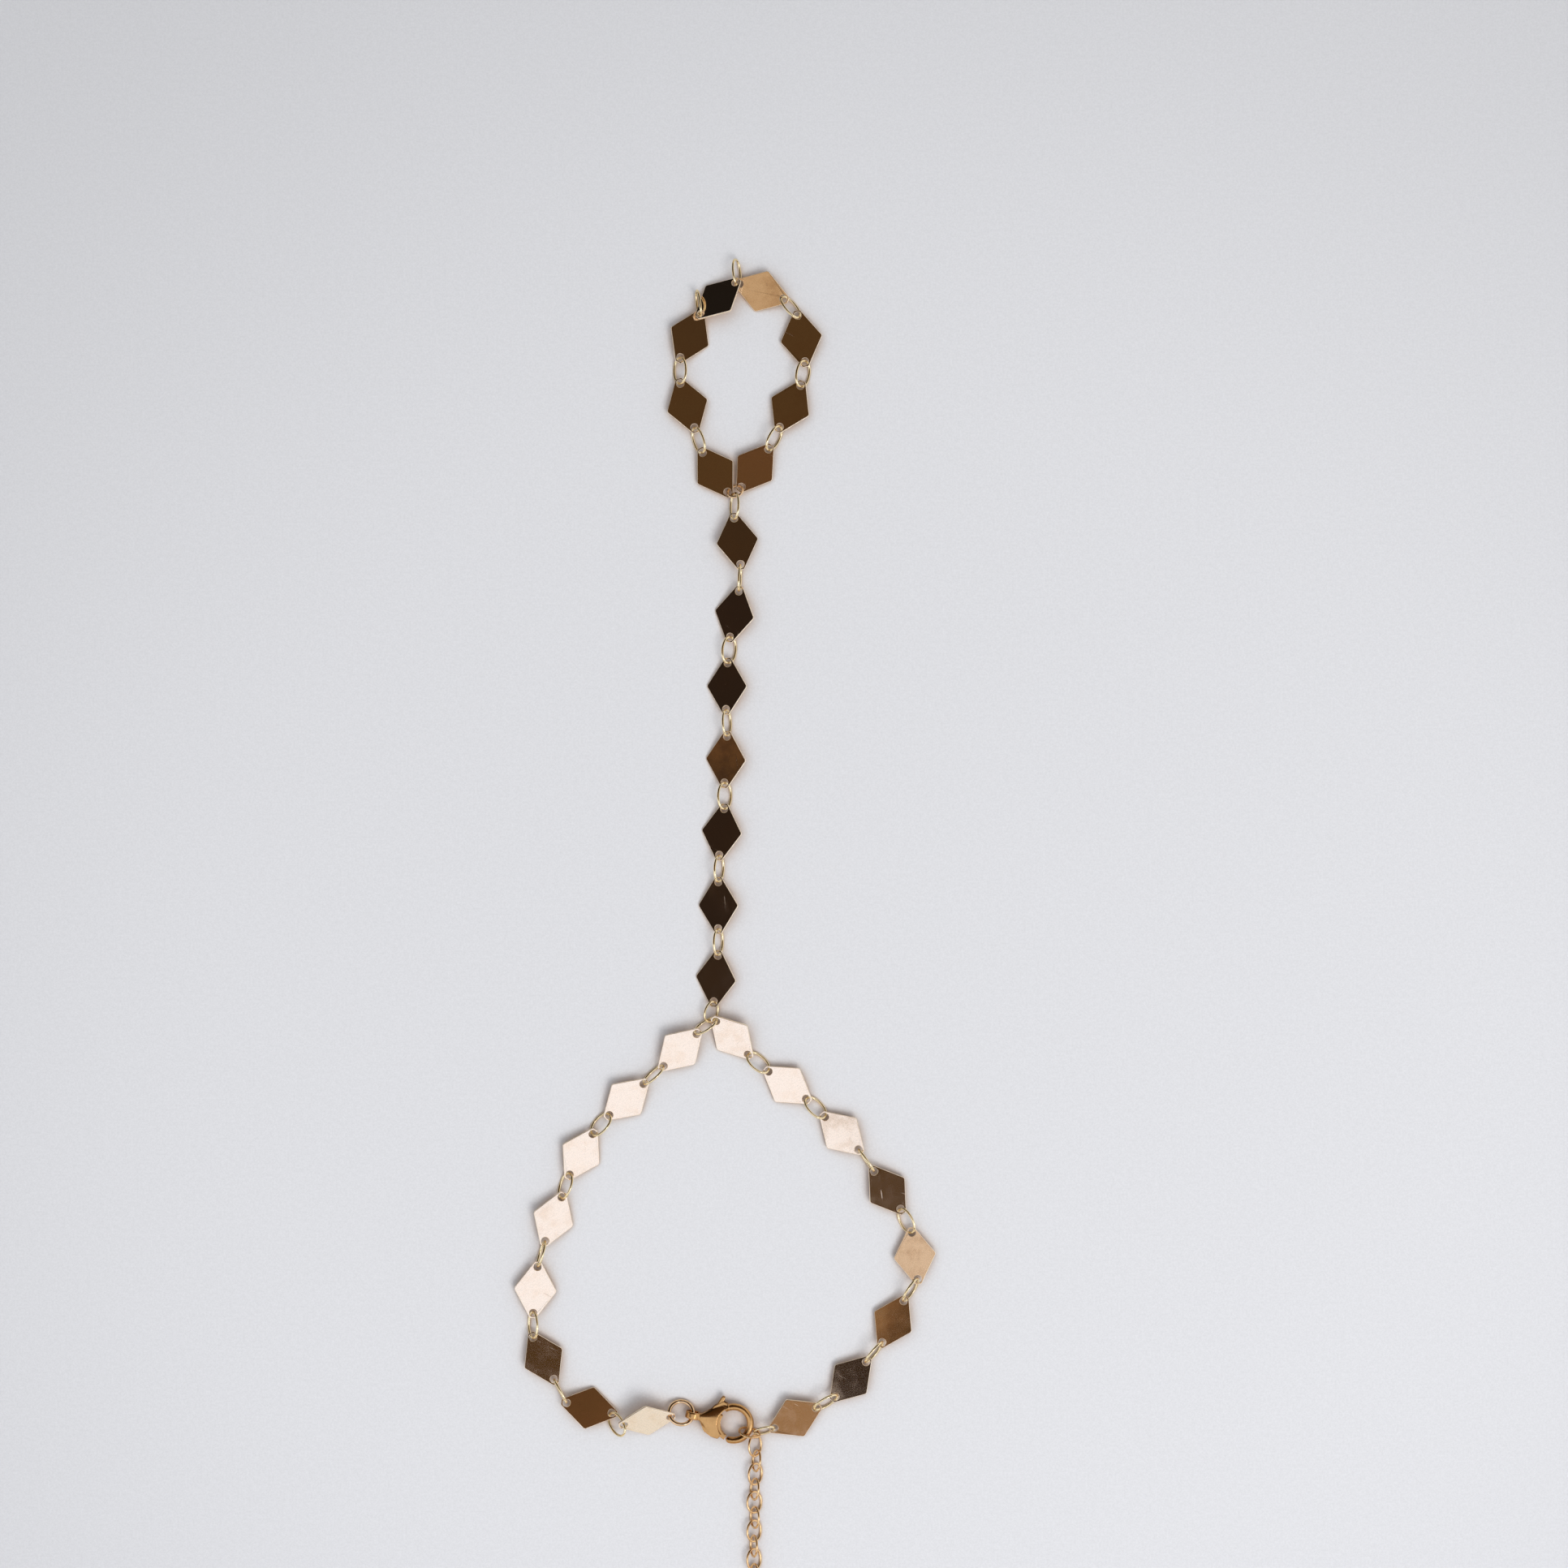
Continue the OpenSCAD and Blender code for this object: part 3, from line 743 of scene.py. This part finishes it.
def ceiling_material():
    """What the gold mirrors: a dim warm ceiling with a bright diffuser towards the viewer."""
    material, net, shader = new_material("studio_ceiling")
    place = net.place()
    x, y = (part * (1 / MM) for part in net.split(place)[:2])
    left, far = x * -1, reach(x, y, 0, 0)
    cloud = net.noise(place, CLOUD_WAVES, 3.0) - 0.5
    corner = left.step(*CORNER_LEFT) * y.step(*CORNER_UP)

    light = (y + cloud * CLOUD_EDGE).step(*DIFFUSER_NEAR) * y.step(*DIFFUSER_FAR)
    for dark in DARK_SPOTS:
        light = light * (1 - spot(x, y, *dark))
    for bright in BRIGHT_SPOTS:
        light = light.most(spot(x, y, *bright))
    light = light.most(far.step(*OUTER_LIGHT) * (1 - corner) * OUTER_TONE)
    light = light.most(x.step(*RIGHT_LIGHT) * RIGHT_TONE)

    dim = DIM_TONE + cloud * DIM_CLOUD - far.step(*DIM_FAR) * DIM_FAR_TONE
    dim = dim - left.step(*DIM_LEFT) * DIM_LEFT_TONE - y.step(*DIM_UP) * DIM_UP_TONE
    dim = dim - corner * CORNER_TONE
    for change in DIM_SPOTS:
        dim = dim + spot(x, y, *change)

    tone = light.most(dim.clamped())
    colour = net.node("ShaderNodeValToRGB", {"stops": CEILING_COLOURS}, {"Fac": tone})
    power = tone.step(*BRIGHTEST) * BRIGHTEST_POWER + spot(x, y, *HOT_SPOT) + 1.0
    shine(net, shader, net.scaled(colour, power))
    return material


def wall_material(name):
    """A pale far wall, a little cloudy, that only the gold mirrors."""
    material, net, shader = new_material(name)
    shine(net, shader, net.mix(net.noise(net.place(), WALL_WAVES, 2.0), *WALL_COLOURS))
    return material


def floor_material(colour):
    """Smooth matte board with the faintest grain, with painted shade darker outwards and a painted
    warm contact shadow and bounce light close to the metal.
    """
    material, net, shader = new_material("floor_board")
    place = net.place()
    grain = net.noise(place, BOARD_GRAIN, 2.0, 0.7)
    weave = net.noise(net.mapped(place, BOARD_WEAVE), 1.0, 2.0)
    uneven = grain.step(*MIDTONES) * GRAIN_SHARE + weave.step(*MIDTONES) * WEAVE_SHARE
    tint = net.mix(uneven, colour, tuple(c * BOARD_SHADE for c in colour))
    x, y = net.split(place)[:2]
    # Painted shade: the floor is darkened away from a middle, as the light falls off
    shade = reach(x, y, *SHADE_MIDDLE).step(*SHADE_REACH) * SHADE_DEPTH
    tint = net.mix(shade, tint, (0.0, 0.0, 0.0))
    # Painted contact shadow: the floor turns warm brown where the metal is close, standing in for
    # the shade and the gold's bounce light there
    near = net.node(
        "ShaderNodeAmbientOcclusion", {"samples": CONTACT_SHADE_SAMPLES}, {"Distance": CONTACT_SHADE_REACH}, "AO",
    )
    tint = net.mix(near.step(*CONTACT_SHADE_FADE) * CONTACT_SHADE_DEPTH, tint, CONTACT_SHADE_COLOUR)
    net.feed(shader.inputs["Base Color"], tint)
    net.feed(shader.inputs["Roughness"], grain * BOARD_ROUGHER + BOARD_ROUGH)
    net.feed(shader.inputs["Normal"], net.bump(BOARD_BUMP, BOARD_DEPTH, grain))
    return material


def plane(name, material, size, place, turn=(0, 0, 0)):
    """A flat part of the studio, which isn't part of the bracelet."""
    deselect()
    bpy.ops.mesh.primitive_plane_add(size=size, location=place, rotation=turn)
    made = bpy.context.object
    made.name = name
    made.data.materials.append(material)
    return made


def mirrored_only(piece):
    """Hides a part of the studio from all but mirrored rays."""
    piece.visible_camera = False
    piece.visible_diffuse = False
    piece.visible_shadow = False
    piece.visible_transmission = False


def lamp(name, place, aim, size, power, colour):
    """A square soft light, turned to a point and hidden from the gold."""
    data = bpy.data.lights.new(name, "AREA")
    data.shape = "SQUARE"
    data.size = size
    data.energy = power
    data.color = colour
    light = bpy.data.objects.new(name, data)
    bpy.context.scene.collection.objects.link(light)
    light.location = place
    light.rotation_euler = (Vector(aim) - Vector(place)).to_track_quat("-Z", "Y").to_euler()
    light.visible_glossy = False
    light.visible_camera = False


def set_camera(settings):
    """Looks straight down at the middle of the picture."""
    data = bpy.data.cameras.new("photo_camera")
    data.sensor_width = SENSOR_MM
    data.lens = SENSOR_MM * settings.camera_height / settings.view_width
    data.clip_start, data.clip_end = CLIP_NEAR, CLIP_FAR
    camera = bpy.data.objects.new("photo_camera", data)
    bpy.context.scene.collection.objects.link(camera)
    camera.location = (settings.view_x, settings.view_y, settings.camera_height)
    bpy.context.scene.camera = camera


class BRACELET_OT_stage(bpy.types.Operator):
    """Lay the pale floor and set the studio's ceiling, lights and camera"""

    bl_idname = "bracelet.stage"
    bl_label = "Set Stage"

    def execute(self, context):
        settings = context.scene.bracelet_stage
        scene = context.scene
        x, y = settings.view_x, settings.view_y
        plane("floor", floor_material(settings.floor), FLOOR_SIZE, (x, y, 0.0))
        ceiling = (x, y, settings.ceiling)
        mirrored_only(plane("ceiling", ceiling_material(), CEILING_SIZE, ceiling))
        for name, place, turn in (
            ("window_wall", (x, y - WALL_AWAY, WALL_HEIGHT), (math.pi / 2, 0, 0)),
            ("side_wall", (x + WALL_AWAY, y, WALL_HEIGHT), (math.pi / 2, 0, math.pi / 2)),
        ):
            wall = plane(name, wall_material(name), 1.0, place, turn)
            wall.scale = (CEILING_SIZE, 1.0, 1.0)
            mirrored_only(wall)

        world = bpy.data.worlds.new("studio")
        world.use_nodes = True
        scene.world = world
        back = world.node_tree.nodes["Background"]
        back.inputs["Color"].default_value = WORLD_COLOUR
        back.inputs["Strength"].default_value = WORLD_POWER

        for name, ((across, along, up), size, power, colour) in LAMPS.items():
            lamp(name, (x + across, y + along, up), (x, y, 0), size, power, colour)
        set_camera(settings)
        scene.view_settings.view_transform = "Standard"
        return {"FINISHED"}


# Each part of the panel: its title, its settings on the scene and its operator
STEPS = (
    ("Plates", "bracelet_plates", "bracelet.plates"),
    ("Links", "bracelet_wire", "bracelet.links"),
    ("Rings", "bracelet_wire", "bracelet.rings"),
    ("Clasp", "bracelet_clasp", "bracelet.clasp"),
    ("Stage", "bracelet_stage", "bracelet.stage"),
)


class BRACELET_PT_panel(bpy.types.Panel):
    """The bracelet's settings and steps"""

    bl_idname = "BRACELET_PT_panel"
    bl_label = "Hand Chain Bracelet"
    bl_space_type = "VIEW_3D"
    bl_region_type = "UI"
    bl_category = "Bracelet"

    def draw(self, context):
        for title, settings, operator in STEPS:
            group = getattr(context.scene, settings)
            box = self.layout.box()
            box.label(text=title)
            for name in group.__annotations__:
                box.prop(group, name)
            box.operator(operator)


SETTINGS = {
    "bracelet_plates": BraceletPlateSettings,
    "bracelet_wire": BraceletWireSettings,
    "bracelet_clasp": BraceletClaspSettings,
    "bracelet_stage": BraceletStageSettings,
}
CLASSES = (
    *SETTINGS.values(),
    BRACELET_OT_plates, BRACELET_OT_links, BRACELET_OT_rings, BRACELET_OT_clasp, BRACELET_OT_stage,
    BRACELET_PT_panel,
)


def register():
    """Adds the classes, and the settings to the scene."""
    for cls in CLASSES:
        bpy.utils.register_class(cls)
    for name, group in SETTINGS.items():
        setattr(bpy.types.Scene, name, bpy.props.PointerProperty(type=group))


def unregister():
    """Takes the settings and the classes away again."""
    for name in SETTINGS:
        delattr(bpy.types.Scene, name)
    for cls in reversed(CLASSES):
        bpy.utils.unregister_class(cls)


def main():
    """Makes all the pieces and the stage."""
    register()
    bpy.ops.bracelet.plates()
    bpy.ops.bracelet.links()
    bpy.ops.bracelet.rings()
    bpy.ops.bracelet.clasp()
    bpy.ops.bracelet.stage()


if __name__ == "__main__":
    main()
